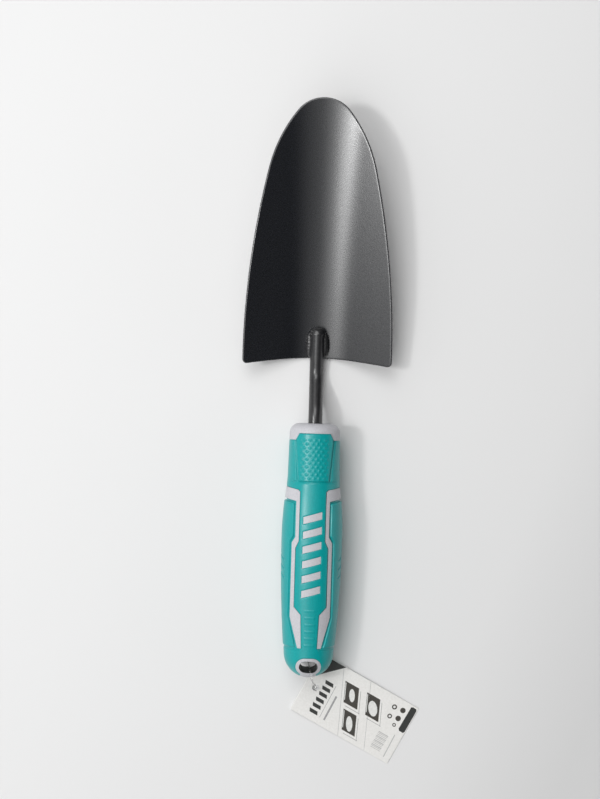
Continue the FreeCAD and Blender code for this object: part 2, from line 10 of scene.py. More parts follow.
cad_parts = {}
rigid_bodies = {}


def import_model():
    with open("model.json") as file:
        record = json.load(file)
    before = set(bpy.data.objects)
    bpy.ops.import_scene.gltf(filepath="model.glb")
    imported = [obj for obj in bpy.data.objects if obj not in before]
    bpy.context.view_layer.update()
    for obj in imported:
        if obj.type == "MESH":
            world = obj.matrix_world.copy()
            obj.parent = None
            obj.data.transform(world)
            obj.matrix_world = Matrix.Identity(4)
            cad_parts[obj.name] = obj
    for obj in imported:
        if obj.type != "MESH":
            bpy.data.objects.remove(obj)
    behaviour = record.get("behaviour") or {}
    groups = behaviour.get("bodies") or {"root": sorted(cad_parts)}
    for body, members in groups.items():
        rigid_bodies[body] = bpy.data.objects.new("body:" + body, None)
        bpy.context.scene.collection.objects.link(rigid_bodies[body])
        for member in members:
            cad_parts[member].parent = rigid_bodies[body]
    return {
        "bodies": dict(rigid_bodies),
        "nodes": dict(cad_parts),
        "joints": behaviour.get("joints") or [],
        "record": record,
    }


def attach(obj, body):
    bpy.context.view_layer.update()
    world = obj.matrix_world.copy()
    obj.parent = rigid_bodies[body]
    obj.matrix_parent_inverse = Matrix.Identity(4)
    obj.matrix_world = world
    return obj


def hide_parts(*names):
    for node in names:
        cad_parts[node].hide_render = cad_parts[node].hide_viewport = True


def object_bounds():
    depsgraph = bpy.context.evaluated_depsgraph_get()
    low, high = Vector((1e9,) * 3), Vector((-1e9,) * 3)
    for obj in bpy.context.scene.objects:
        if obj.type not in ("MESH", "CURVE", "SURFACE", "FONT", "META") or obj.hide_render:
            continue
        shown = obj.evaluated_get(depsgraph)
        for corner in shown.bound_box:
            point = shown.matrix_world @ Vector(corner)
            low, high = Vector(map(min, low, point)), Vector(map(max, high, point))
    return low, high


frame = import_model()
cad_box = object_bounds()
nodes = frame["nodes"]

# Shapes are worked out in millimetres and become metres when a mesh is made.
MM = 0.001
TABLE = cad_box[0][2] / MM

# ---------------------------------------------------------------- materials


def material(name):
    """A new node material: (material, its nodes, its links, its shader)."""
    made = bpy.data.materials.new(name)
    made.use_nodes = True
    tree = made.node_tree
    return made, tree.nodes, tree.links, tree.nodes["Principled BSDF"]


def add_noise(made_nodes, links, scale, detail):
    """A noise that is fixed to the object."""
    where = made_nodes.new("ShaderNodeTexCoord")
    noise = made_nodes.new("ShaderNodeTexNoise")
    noise.inputs["Scale"].default_value = scale
    noise.inputs["Detail"].default_value = detail
    links.new(where.outputs["Object"], noise.inputs["Vector"])
    return noise


def add_bump(made_nodes, links, shader, scale, strength, distance):
    """Fine relief from a noise."""
    noise = add_noise(made_nodes, links, scale, 3.0)
    bump = made_nodes.new("ShaderNodeBump")
    bump.inputs["Strength"].default_value = strength
    bump.inputs["Distance"].default_value = distance
    links.new(noise.outputs["Fac"], bump.inputs["Height"])
    links.new(bump.outputs["Normal"], shader.inputs["Normal"])


def add_ramp(made_nodes, links, source, stops):
    """A colour ramp fed by source, from (place, grey value or colour) pairs. Returns its own output."""
    ramp = made_nodes.new("ShaderNodeValToRGB")
    while len(ramp.color_ramp.elements) < len(stops):
        ramp.color_ramp.elements.new(0.5)
    for stop, (place, value) in zip(ramp.color_ramp.elements, stops):
        stop.position = place
        stop.color = (value, value, value, 1) if isinstance(value, float) else (*value, 1)
    links.new(source, ramp.inputs["Fac"])
    return ramp.outputs["Color"]


def add_drift(made_nodes, links, shader, scale, ends, socket):
    """Lets a colour or a value drift between two ends."""
    noise = add_noise(made_nodes, links, scale, 4.0)
    drift = add_ramp(made_nodes, links, noise.outputs["Fac"], tuple(zip((0.3, 0.7), ends)))
    links.new(drift, shader.inputs[socket])


def coated(name, grain, relief, colours, roughness, specular=0.5, coat=None):
    """A finely grained surface whose colour and roughness drift. coat is a clear coat's (weight, roughness)."""
    made, made_nodes, links, shader = material(name)
    add_bump(made_nodes, links, shader, grain, relief, 0.0002)
    add_drift(made_nodes, links, shader, grain * 0.6, colours, "Base Color")
    add_drift(made_nodes, links, shader, grain * 0.8, roughness, "Roughness")
    shader.inputs["Specular IOR Level"].default_value = specular
    if coat:
        shader.inputs["Coat Weight"].default_value, shader.inputs["Coat Roughness"].default_value = coat
    return made


def arithmetic(made_nodes, links, operation, *values):
    """A maths node: each value is a number or the output that feeds it. Returns its own output."""
    node = made_nodes.new("ShaderNodeMath")
    node.operation = operation
    for socket, value in zip(node.inputs, values):
        if isinstance(value, (int, float)):
            socket.default_value = value
        else:
            links.new(value, socket)
    return node.outputs["Value"]


def paint_hole_shade(made):
    """Paints shade onto the wall of the hang hole, a slot with round ends at the origin: a dark matt colour
    that stands in for the shade inside the hole.
    """
    made_nodes, links = made.node_tree.nodes, made.node_tree.links
    shader = made_nodes["Principled BSDF"]
    where = made_nodes.new("ShaderNodeTexCoord")
    split = made_nodes.new("ShaderNodeSeparateXYZ")
    links.new(where.outputs["Object"], split.inputs["Vector"])

    def step(operation, *values):
        return arithmetic(made_nodes, links, operation, *values)

    past = step("MAXIMUM", step("SUBTRACT", step("ABSOLUTE", split.outputs["X"]), HOLE_STRAIGHT), 0.0)
    squares = [step("POWER", part, 2.0) for part in (past, split.outputs["Y"])]
    within = step("LESS_THAN", step("SQRT", step("ADD", *squares)), HOLE_REACH)
    # Mixes the painted shade into the plastic's base colour over the hole's wall.
    mix = made_nodes.new("ShaderNodeMixRGB")
    mix.inputs["Color2"].default_value = HOLE_PAINTED_SHADE
    source = shader.inputs["Base Color"].links[0].from_socket
    links.new(within, mix.inputs["Fac"])
    links.new(source, mix.inputs["Color1"])
    links.new(mix.outputs["Color"], shader.inputs["Base Color"])


def clear_nylon():
    """Clear nylon that lets most of the light through, a little dull."""
    made, made_nodes, links, shader = material("clear_nylon")
    add_bump(made_nodes, links, shader, 900, 0.05, 0.0001)
    shader.inputs["Base Color"].default_value = (0.97, 0.98, 0.98, 1)
    shader.inputs["Roughness"].default_value = 0.25
    shader.inputs["Transmission Weight"].default_value = 0.96
    shader.inputs["IOR"].default_value = 1.25
    shader.inputs["Alpha"].default_value = 0.5
    return made


def ink(name, colour):
    """Printed colour on the card: as smooth as the card, with a trace of mottle."""
    darker = tuple(part * 0.85 for part in colour)
    return coated(name, 1500, 0.04, (darker, colour), (0.36, 0.44))


# The slot's straight half, a little more than the radius of its ends, in metres, and the painted shade of its
# wall, a dark colour standing in for the shade inside the hang hole.
HOLE_STRAIGHT, HOLE_REACH, HOLE_PAINTED_SHADE = 0.0017, 0.0036, (0.015, 0.020, 0.020, 1)

BLADE_BLACKS = ((0.001, 0.002, 0.004), (0.004, 0.005, 0.009))
# Each finish: its name, how fine its grain is, its relief, two colours, two roughnesses, specular level.
BLADE_COAT = coated("blade_coat", 1500, 0.13, BLADE_BLACKS, (0.24, 0.31), 1.0, coat=(0.42, 0.38))
BAR_COAT = coated("bar_coat", 700, 0.12, ((0.006, 0.006, 0.007), (0.014, 0.014, 0.016)), (0.26, 0.38), 0.9)
CORE = coated("core_plastic", 1800, 0.10, ((0.48, 0.48, 0.51), (0.55, 0.55, 0.58)), (0.42, 0.52))
RUBBER = coated("grip_rubber", 2200, 0.15, ((0.0, 0.295, 0.30), (0.0, 0.34, 0.345)), (0.28, 0.36), 0.45)
# The wall of the hang hole gets a painted shade in the core's colour.
paint_hole_shade(CORE)
CARD = coated("tag_card", 1500, 0.05, ((0.76, 0.75, 0.725), (0.82, 0.81, 0.79)), (0.34, 0.42))
NYLON = clear_nylon()

for name, finish in (("handle_core", CORE), ("tang", BAR_COAT), ("tag_loop", NYLON)):
    nodes[name].data.materials.clear()
    nodes[name].data.materials.append(finish)

# ---------------------------------------------------------------- mesh helpers


def smooth_step(value, low, high):
    """0 up to low, 1 from high on, and a soft rise between them."""
    share = np.clip((value - low) / (high - low), 0, 1)
    return share * share * (3 - 2 * share)


def round_over(inset, radius):
    """How far a rounded edge has fallen away at a distance in from its rim."""
    return radius - np.sqrt(np.maximum(radius**2 - np.clip(radius - inset, 0, radius) ** 2, 0))


def new_piece(name, points, faces, finish, body):
    """A smooth mesh from millimetre points, in the material of its finish, riding on a body."""
    mesh = bpy.data.meshes.new(name)
    mesh.from_pydata((np.asarray(points) * MM).tolist(), [], [[int(i) for i in face] for face in faces])
    mesh.validate()
    mesh.polygons.foreach_set("use_smooth", [True] * len(mesh.polygons))
    mesh.materials.append(finish)
    piece = bpy.data.objects.new(name, mesh)
    bpy.context.scene.collection.objects.link(piece)
    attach(piece, body)
    return piece


def inside(points, loop):
    """Whether each point lies inside the closed loop."""
    x, y = points[:, 0], points[:, 1]
    found = np.zeros(len(points), bool)
    for (x0, y0), (x1, y1) in zip(loop, np.roll(loop, -1, axis=0)):
        if y0 != y1:
            found ^= ((y0 > y) != (y1 > y)) & (x < (x1 - x0) * (y - y0) / (y1 - y0) + x0)
    return found


def spaced(corners, step, closed=True):
    """The line through the corners, with points added so that none are further apart than step."""
    corners = np.asarray(corners, float)
    ends = np.roll(corners, -1, axis=0) if closed else corners[1:]
    points = []
    for start, finish in zip(corners, ends):
        count = max(1, math.ceil(np.linalg.norm(finish - start) / step))
        points += [start + (finish - start) * i / count for i in range(count)]
    if not closed:
        points.append(corners[-1])
    return np.array(points)


def distance(points, marks):
    """How far each point is from the nearest mark."""
    if points.shape[1] == 2:
        points, marks = np.c_[points, np.zeros(len(points))], np.c_[marks, np.zeros(len(marks))]
    tree = KDTree(len(marks))
    for number, mark in enumerate(marks):
        tree.insert(mark, number)
    tree.balance()
    return np.array([tree.find(point)[2] for point in points])


def triangulate(loops, accept, field, rows):
    """Points and triangles of the flat region that accept() is true for.

    loops are its closed edges. Rows of points run beside each of them, so that a rounded edge has points to
    follow, and field gives the points further in.
    """
    rims = np.vstack(loops)
    beside = []
    for loop in loops:
        along = np.roll(loop, -1, axis=0) - np.roll(loop, 1, axis=0)
        normal = np.stack([-along[:, 1], along[:, 0]], axis=1) / np.linalg.norm(along, axis=1)[:, None]
        for row in rows:
            for side in (-row, row):
                shifted = loop + normal * side
                beside.append(shifted[distance(shifted, rims) > 0.9 * row])
    beside = np.vstack(beside)
    field = field[distance(field, rims) > rows[-1] * 1.15]
    free = np.vstack([beside, field])
    points = np.vstack([rims, free[accept(free)]])
    edges, first = [], 0
    for loop in loops:
        count = len(loop)
        edges += [(first + i, first + (i + 1) % count) for i in range(count)]
        first += count
    flat, _, faces, *_ = delaunay_2d_cdt([Vector(point) for point in points], edges, [], 0, 1e-5)
    flat, faces = np.array(flat), np.array(faces)
    faces = faces[accept(flat[faces].mean(axis=1))]
    used, faces = np.unique(faces, return_inverse=True)
    return flat[used], faces.reshape(-1, 3)


def shell(outer, inner, faces):
    """A closed shell from an outer skin, the inner one under it and the walls between their rims."""
    _, first, same = np.unique(np.round(outer, 4), axis=0, return_index=True, return_inverse=True)
    same = same.ravel()
    outer, inner, faces = outer[first], inner[first], same[faces]
    a, b, c = faces.T
    faces = faces[(a != b) & (b != c) & (c != a)]
    count = len(outer)
    edges = {(a, b) for face in faces.tolist() for a, b in zip(face, face[1:] + face[:1])}
    walls = [(b, a, a + count, b + count) for a, b in edges if (b, a) not in edges]
    back = faces[:, ::-1] + count
    return np.vstack([outer, inner]), faces.tolist() + back.tolist() + sorted(walls)


def outward(points, faces, away):
    """The faces turned so that the first one looks along away."""
    a, b, c = points[faces[0]]
    return faces[:, ::-1] if np.dot(np.cross(b - a, c - a), away(a)) < 0 else faces


# ---------------------------------------------------------------- blade

# The sheet runs evenly from the heel's section to the tip's. The two sections stand PAST beyond its ends.
BLADE_LENGTH, THICK, PAST = 148.85, 1.5, 3.0
HEEL_VALLEY, TIP_VALLEY = 42.0, 58.0
HEEL_WING, TIP_WING = math.radians(25.5), math.radians(22.5)
PITCH, BAR_PITCH = math.radians(11.3), math.radians(11.4)
HEEL_Y, HEEL_Z = 174.8, THICK / math.cos(PITCH) + TABLE
HEEL_CORNER, HEEL_SAG = 2.6, 1.6
RIM_ROUND = 0.72
FLANK_ARCS = ((18.6, 52), (83, 25), (480, 13))  # radius and degrees, from the tip back along one flank


def swept_arc(start, heading, radius, turn, step):
    """An arc that leaves start and turns to the right: (its points, its end, its heading there)."""
    count = max(2, math.ceil(radius * turn / step))
    headings = heading - turn * np.arange(count + 1) / count
    centre = start + radius * np.array([math.sin(heading), -math.cos(heading)])
    points = centre + radius * np.stack([-np.sin(headings), np.cos(headings)], axis=1)
    return points[:-1], points[-1], headings[-1]


def blade_outline(step):
    """The blade's plan in its own plane: the heel's middle at the origin and the tip at +Y."""
    place, heading, right = np.array([0.0, BLADE_LENGTH]), 0.0, []
    for radius, degrees in FLANK_ARCS:
        points, place, heading = swept_arc(place, heading, radius, math.radians(degrees), step)
        right.append(points)
    low = np.array([place[0], HEEL_CORNER - HEEL_SAG])
    right.append(spaced([place, low], step, closed=False)[:-1])
    points, place, heading = swept_arc(low, heading, HEEL_CORNER, math.radians(86), 0.4)
    right.append(points)
    radius = (place[0] ** 2 + place[1] ** 2) / (-2 * place[1])
    across = np.linspace(place[0], 0, int(place[0] / step))
    right.append(np.stack([across, np.sqrt(radius**2 - across**2) - radius], axis=1))
    right = np.vstack(right)
    return np.vstack([right, right[1:-1][::-1] * [-1, 1]])


def section_height(x, radius, angle):
    """The height of the hollow face, and its slope, at a distance from the middle of one section."""
    reach = radius * math.sin(angle)
    tilt = np.where(np.abs(x) < reach, np.arcsin(np.clip(x / radius, -0.99, 0.99)), angle * np.sign(x))
    height = radius * (1 - np.cos(tilt)) + np.maximum(np.abs(x) - reach, 0) * math.tan(angle)
    return height, np.tan(tilt)


def blade_place(flat, depth):
    """Where plan points lie on the pressed sheet, depth below its hollow face."""
    x, y = flat.T
    share = (y + PAST) / (BLADE_LENGTH + 2 * PAST)
    heel, heel_slope = section_height(x, HEEL_VALLEY, HEEL_WING)
    tip, tip_slope = section_height(x, TIP_VALLEY, TIP_WING)
    tilt = np.arctan(heel_slope * (1 - share) + tip_slope * share)
    across = x + depth * np.sin(tilt)
    rise = heel * (1 - share) + tip * share - depth * np.cos(tilt)
    cos, sin = math.cos(PITCH), math.sin(PITCH)
    return np.stack([across, HEEL_Y + y * cos - rise * sin, HEEL_Z + y * sin + rise * cos], axis=1)


def staggered(low, high, step):
    """A staggered grid of points over a flat box."""
    rows = np.arange(low[1], high[1], step * 0.87)
    points = []
    for number, y in enumerate(rows):
        shift = step / 2 * (number % 2)
        points.append([(x + shift, y) for x in np.arange(low[0], high[0], step)])
    return np.vstack(points)


def make_blade():
    """The pressed sheet, with its rim rounded over on both faces."""
    rim = blade_outline(0.9)
    field = staggered(rim.min(axis=0), rim.max(axis=0), 2.2)
    flat, faces = triangulate([rim], lambda points: inside(points, rim), field, (0.12, 0.3, 0.5, 0.75, 1.3))
    inset = distance(flat, rim)
    fall = round_over(inset, RIM_ROUND)
    top, bottom = blade_place(flat, fall), blade_place(flat, THICK - fall)
    faces = outward(top, faces, lambda point: (0, 0, 1))
    blade = new_piece("blade_sheet", *shell(top, bottom, faces), BLADE_COAT, "trowel")
    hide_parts("blade")


def make_bead(name, node, place, half, ripple):
    """A weld bead: an oval run with overlapping ripples and a slightly uneven edge.

    place is across, along, and the rise above the sheet's middle line. half is the oval's half sizes.
    """
    height = HEEL_Z + (place[1] - HEEL_Y) * math.tan(BAR_PITCH) + place[2]
    centre = Vector((place[0], place[1], height))
    lean = Matrix.Rotation(BAR_PITCH, 3, "X")
    rounds, rings = 48, 64
    points = []
    for ring in range(rings + 1):
        angle = math.pi * ring / rings
        along, across = math.cos(angle), math.sin(angle)
        for step in range(rounds):
            turn = 2 * math.pi * step / rounds
            phase = along * half[1] / ripple * 2 * math.pi
            ripples = 0.022 * math.cos(phase + 0.9 * math.cos(turn))
            unevenness = 0.02 * math.sin(3 * turn + 5 * along)
            spot = (across * math.sin(turn) * half[0], along * half[1], across * math.cos(turn) * half[2])
            points.append(centre + lean @ (Vector(spot) * (0.97 + ripples + unevenness)))
    faces = []
    for ring in range(rings):
        for step in range(rounds):
            here, beside = ring * rounds + step, ring * rounds + (step + 1) % rounds
            faces.append((here, beside, beside + rounds, here + rounds))
    bead = new_piece(name, points, faces, BAR_COAT, "trowel")
    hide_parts(node)


make_blade()
make_bead("weld_run_left", "weld_bead_left", (-4.3, 182.4, 1.5), (2.6, 7.4, 2.4), 1.9)
make_bead("weld_run_right", "weld_bead_right", (4.3, 182.4, 1.5), (2.6, 7.4, 2.4), 1.9)
make_bead("weld_run_end", "weld_bead_end", (0, 188.9, 3.5), (4.7, 3.6, 4.5), 2.8)

# ---------------------------------------------------------------- the handle's turned surface

BUTT, DOME = -7.6, 14.2
DOME_END = BUTT + DOME
BELLY, NECK_START, NECK_END, COLLAR = (71.7, 17.1), (98.8, 15.53), (110.3, 14.8), (131.7, 14.4)
SKIN = 1.9  # how deep the soft pieces go
UNIT = 15.0  # how wide the flat map shows one radian round the handle
HALF_TURN = math.pi * UNIT
DOME_SPAN = DOME * math.pi / 2


def arc_height(y, start, finish, radius):
    """The height at y on the arc from start to finish. A negative radius is a hollow arc."""
    (y0, r0), (y1, r1) = start, finish
    chord = math.hypot(y1 - y0, r1 - r0)
    side = math.copysign(1, radius)
    reach = side * math.sqrt(radius**2 - chord**2 / 4)
    centre_y = (y0 + y1) / 2 + (r1 - r0) / chord * reach
    centre_r = (r0 + r1) / 2 - (y1 - y0) / chord * reach
    return centre_r + side * np.sqrt(radius**2 - (y - centre_y) ** 2)


def handle_radius(y):
    """The handle's radius at places along its axis."""
    y = np.asarray(y, float)
    dome = np.sqrt(np.maximum(DOME**2 - (np.clip(y, BUTT, DOME_END) - DOME_END) ** 2, 0))
    rear = arc_height(np.clip(y, DOME_END, BELLY[0]), (DOME_END, DOME), BELLY, 732)
    front = arc_height(np.clip(y, BELLY[0], NECK_START[0]), BELLY, NECK_START, 235)
    waist = arc_height(np.clip(y, NECK_START[0], NECK_END[0]), NECK_START, NECK_END, -106)
    nose = NECK_END[1] + (y - NECK_END[0]) * (COLLAR[1] - NECK_END[1]) / (COLLAR[0] - NECK_END[0])
    before = [y < DOME_END, y < BELLY[0], y < NECK_START[0], y < NECK_END[0]]
    return np.select(before, [dome, rear, front, waist], nose)


def handle_point(turn, y, lift=0.0):
    """Points at an angle round from the top and a place along, lifted off the handle's surface."""
    radius = handle_radius(y)
    slope = (handle_radius(y + 0.05) - handle_radius(y - 0.05)) / 0.1
    lean = np.where(y < DOME_END, np.arcsin(np.clip((DOME_END - y) / DOME, 0, 1)), -np.arctan(slope))
    out = radius + lift * np.cos(lean)
    return np.stack([out * np.sin(turn), y - lift * np.sin(lean), out * np.cos(turn)], axis=-1)


def to_map(turn, y):
    """The flat map of the handle: round it one way, along its surface from the butt the other."""
    turn, y = np.broadcast_arrays(turn, y)
    dome = DOME * np.arccos(np.clip((DOME_END - y) / DOME, 0, 1))
    return np.stack([turn * UNIT, np.where(y < DOME_END, dome, DOME_SPAN + y - DOME_END)], axis=-1)


def from_map(flat):
    """(angle round from the top, place along the axis) of points of the flat map."""
    dome = DOME_END - DOME * np.cos(np.clip(flat[:, 1], 0, DOME_SPAN) / DOME)
    return flat[:, 0] / UNIT, np.where(flat[:, 1] < DOME_SPAN, dome, DOME_END + flat[:, 1] - DOME_SPAN)


# ---------------------------------------------------------------- grip

STEP = 0.5  # how far apart points stand along an edge
ROWS = (0.12, 0.28, 0.5, 0.8, 1.2)  # how far in from the sleeve's edges the rows of points run
PAD_ROWS = (0.15, 0.5, 0.95, 1.35, 1.5, 1.65, 1.9)  # the same for a side pad, with rows down its panel's step
SEAM, PAD_REAR = 9.7, 104.7  # where the side pads end at the butt, and where the thumb pad ends
STRIP_INNER, STRIP_OUTER, BAND_LOW, BAND_HIGH, FLARE, FLANK = 8.6, 9.4, 93.6, 99.9, 2.0, 20.1
# Lines on the top, as (across, along) from above.
INNER_EDGE = [
    (STRIP_INNER, BAND_HIGH), (7.5, 98.8), (7.5, 71.3), (9.3, 67.3), (9.3, 34.1), (5.3, 29.8), (4.6, 10.9)
]
OUTER_EDGE = [(6.6, 10.9), (11.3, 28.2), (11.3, 70.2), (STRIP_OUTER, 73.5), (STRIP_OUTER, BAND_LOW)]
PAD_CORNER = [(5.6, SEAM), (5.6, 10.9)]
FRONT_EDGE = [(0.0, 131.7), (8.8, 131.7), (10.8, 127.9)]


def on_top(corners):
    """A line drawn on the handle from above, laid on the flat map."""
    x, y = spaced(corners, STEP, closed=False).T
    return to_map(np.arcsin(np.clip(x / handle_radius(y), -1, 1)), y)


def underneath(line):
    """The same line on the underside, run the other way."""
    return (line * [-1, 1] + [HALF_TURN, 0])[::-1]


def over_flank(corner, flare=0.0):
    """A line from the top, over the right flank, to the same place on the underside."""
    x0, y0 = corner
    turns = np.linspace(math.asin(x0 / float(handle_radius(y0))), math.pi / 2, 30)
    y = np.full(len(turns), y0)
    for _ in range(4):
        y = y0 + flare * (handle_radius(y) * np.sin(turns) - x0) / (FLANK - x0)
    top = to_map(turns, y)
    return np.vstack([top, underneath(top)[1:]])


def mirrored(loop):
    """The loop on the other side, still run the same way round."""
    return loop[::-1] * [-1, 1]


def flank_loop(edge, front, rear):
    """A closed loop round one flank: down its edge on the top, round at the rear, back underneath."""
    top = on_top(edge)
    return np.vstack([front[::-1][:-1], top[:-1], rear[:-1], underneath(top)[:-1]])


def pad_loop():
    """A side pad's edge: from the band, back along the grey line, and round the flank at the seam."""
    edge = (PAD_CORNER + OUTER_EDGE)[::-1]
    return flank_loop(edge, over_flank(edge[0], FLARE), over_flank(edge[-1]))


def side_opening():
    """What a side pad and its grey line take out of the sleeve."""
    edge = INNER_EDGE + PAD_CORNER[::-1]
    return flank_loop(edge, over_flank(INNER_EDGE[0], FLARE), over_flank(PAD_CORNER[0]))


def emblem_loops(count=6, first=86.4, pitch=8.3, half=5.2, thick=4.0, slant=1.5):
    """A ladder of slanted bars down the top of the grip."""
    loops = []
    for number in range(count):
        y = first - number * pitch
        upper = [(half, y + slant), (-half, y - slant)]
        lower = [(-half, y - slant - thick), (half, y + slant - thick)]
        loops.append(on_top(upper + lower + upper[:1])[:-1])
    return loops


def ring_edge():
    """The right half of the grey ring round the hang hole, carried on over the butt's end underneath."""
    radius, centre, tongue = 5.2, 2.0, 4.4
    angles = np.linspace(math.pi / 2, -math.acos((tongue - centre) / radius), 40)
    ring = [(centre + radius * math.cos(angle), radius * math.sin(angle)) for angle in angles]
    top = on_top([(0.0, radius)] + ring)
    turns = np.linspace(top[-1, 0] / UNIT, math.pi / 2, 30)[1:]
    radii = tongue / np.sin(turns)
    side = to_map(turns, DOME_END - np.sqrt(DOME**2 - radii**2))
    half = np.vstack([top, side])
    return np.vstack([half, underneath(half)[1:]])


def sleeve_border():
    """The sleeve's outer edge on the flat map, cut open along the middle of the underside."""
    rear = ring_edge()
    top = on_top(FRONT_EDGE)
    front = np.vstack([top, over_flank(FRONT_EDGE[-1])[1:-1], underneath(top)])
    side = spaced([rear[-1], front[-1]], STEP, closed=False)
    half = np.vstack([rear[:-1], side[:-1], front[::-1]])
    return np.vstack([half, mirrored(half)[1:-1]])


# The thumb pad's half width at its rear, how much it grows, and over what length. Then the knurl and the ribs.
THUMB_HALF, THUMB_FLARE, THUMB_LENGTH = 8.5, 1.9, 23.2
STUD_PITCH = (2.7, 2.15)
RIB_FIRST, RIB_PITCH = 12.6, 3.9


def thumb_pad(turn, y, top):
    """The lift of the raised trapezium under the thumb, its knurl, and the groove that frames it.

    The step behind it runs on round the flanks.
    """
    x = handle_radius(y) * np.sin(turn)
    half = THUMB_HALF + THUMB_FLARE * (y - PAD_REAR) / THUMB_LENGTH
    inset = np.where(top, np.minimum(half - np.abs(x), y - PAD_REAR), -9)
    raised = 0.6 * smooth_step(inset, 0, 0.4)
    beside = np.where(top & (y > PAD_REAR) & (y < 128.5), np.abs(x) - half, 9)
    frame = 0.95 * np.clip(beside / 0.6, 0, 1) * (1 - smooth_step(beside, 0.9, 1.6))
    step = 0.4 * (1 - smooth_step(np.abs(y - PAD_REAR + 0.25), 0.1, 0.45))
    groove = np.maximum(frame, step)
    rows = (y - PAD_REAR - 0.7) / STUD_PITCH[1]
    row = np.floor(rows)
    across = (x / STUD_PITCH[0] + 0.5 * (row % 2) + 0.5) % 1 - 0.5
    along = rows - row - 0.5
    spot = 0.27 * (1 - smooth_step(np.abs(across) / 0.48 + np.abs(along) / 0.6, 0.15, 1.0))
    studs = np.where(top & (np.abs(x) < 7.7) & (row >= 0) & (row < 11), spot, 0)
    return raised - groove + studs


def rear_ribs(turn, y, top):
    """The lift of a short ladder of low ribs towards the butt."""
    x = handle_radius(y) * np.sin(turn)
    place = (y - RIB_FIRST) / RIB_PITCH
    near = 1 - smooth_step(np.abs(place - np.round(place)) * RIB_PITCH, 0.35, 0.75)
    within = top & (y > 11.5) & (y < 34.2)
    return np.where(within, 0.22 * near * (1 - smooth_step(np.abs(x), 2.6, 2.95)), 0)


def flank_grooves(turn, y):
    """The depth of three slanted grooves across a side pad's flank."""
    up = handle_radius(y) * np.cos(turn)
    along = y + math.tan(math.radians(20)) * up
    deep = np.zeros(len(y))
    for middle in (62.8, 57.8, 52.8):
        deep = np.maximum(deep, 1 - smooth_step(np.abs(along - middle), 0.3, 0.8))
    return 0.6 * deep * (1 - smooth_step(np.abs(up), 7.2, 8.2))


def soft_piece(name, node, flat, faces, rims, lift_at):
    """A closed soft shell over one region of the handle's flat map."""
    turn, y = from_map(flat)
    inset = distance(handle_point(turn, y), handle_point(*from_map(rims)))
    outer, inner = handle_point(turn, y, lift_at(turn, y, inset)), handle_point(turn, y, -SKIN)
    faces = outward(outer, faces, lambda point: (point[0], 0, point[2]))
    piece = new_piece(name, *shell(outer, inner, faces), RUBBER, "trowel")
    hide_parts(node)


def make_pads():
    """The side pads: a sunk margin all round, shallow near the seam, and a raised panel with its grooves."""
    loop = pad_loop()
    low, high = loop.min(axis=0), loop.max(axis=0)
    groove_low, groove_high = to_map(0.5, np.array([43.0, 70.0]))
    fine = staggered((groove_low[0] + 5, groove_low[1]), (HALF_TURN - 12, groove_high[1]), 0.42)
    field = staggered(low, high, 1.3)
    field = field[distance(field, fine) > 0.8]

    def lift_at(turn, y, inset):
        panel = smooth_step(inset, 1.35, 1.75)
        fade = 0.35 + 0.65 * smooth_step(y, SEAM + 2, SEAM + 5)
        margin = -(1.0 + 0.1 * np.clip(inset / 1.35, 0, 1)) * fade
        return margin * (1 - panel) + (0.25 - flank_grooves(turn, y)) * panel

    flat, faces = triangulate([loop], lambda points: inside(points, loop), np.vstack([field, fine]), PAD_ROWS)
    soft_piece("side_pad_right_skin", "side_pad_right", flat, faces, loop, lift_at)
    flip = [-1, 1]
    soft_piece("side_pad_left_skin", "side_pad_left", flat * flip, faces, loop * flip, lift_at)


def make_sleeve():
    """The sleeve: one skin from the butt to its stepped front edge, open over the grey lines and bars."""
    border = sleeve_border()
    right = side_opening()
    openings = [right, mirrored(right)] + emblem_loops()

    def accept(points):
        found = inside(points, border)
        for opening in openings:
            found &= ~inside(points, opening)
        return found

    thumb_low, thumb_high = to_map(0.95, np.array([104.0, 132.0]))
    rib_low, rib_high = to_map(0.22, np.array([10.5, 35.0]))
    fine = np.vstack([
        staggered((-thumb_low[0], thumb_low[1]), (thumb_low[0], thumb_high[1]), 0.32),
        staggered((-rib_low[0], rib_low[1]), (rib_low[0], rib_high[1]), 0.32),
    ])
    field = staggered(border.min(axis=0), border.max(axis=0), 1.25)
    field = field[distance(field, fine) > 0.8]
    flat, faces = triangulate([border] + openings, accept, np.vstack([field, fine]), ROWS)
    on_seam = np.abs(np.abs(border[:, 0]) - HALF_TURN) < 1e-6
    rims = np.vstack([border[~on_seam]] + openings)

    def lift_at(turn, y, inset):
        top = np.abs(turn) < math.pi / 2
        edge = -0.28 * (1 - smooth_step(inset, 0, 0.6))
        return edge + (thumb_pad(turn, y, top) + rear_ribs(turn, y, top)) * smooth_step(inset, 0, 0.5)

    soft_piece("grip_sleeve_skin", "grip_sleeve", flat, faces, rims, lift_at)


make_pads()
make_sleeve()

# ---------------------------------------------------------------- swing tag

CARD_LENGTH, CARD_WIDTH, CARD_THICK, CARD_CORNER = 65.2, 37.2, 0.5, 0.6
EYELET, EYELET_RADIUS = Vector((6.8, 19.0)), 2.0
TAG_PLACE = (
    Matrix.Translation((5.02, -16.7, -15.8))
    @ Matrix.Rotation(math.radians(-28.1), 4, "Z")
    @ Matrix.Rotation(math.radians(1.2755), 4, "Y")
)
INK_BLACK = ink("ink_black", (0.030, 0.032, 0.030))
INK_DARK = ink("ink_dark", (0.055, 0.050, 0.042))
INK_GREY = ink("ink_grey", (0.36, 0.36, 0.36))
INK_PALE = ink("ink_pale", (0.54, 0.54, 0.53))
INK_WHITE = ink("ink_white", (0.80, 0.80, 0.78))


def on_card(points, height):
    """Points of the card, from its header edge and its upper edge, at a height above its back."""
    return np.array([TAG_PLACE @ Vector((u - EYELET.x, EYELET.y - v, height)) for u, v in points])


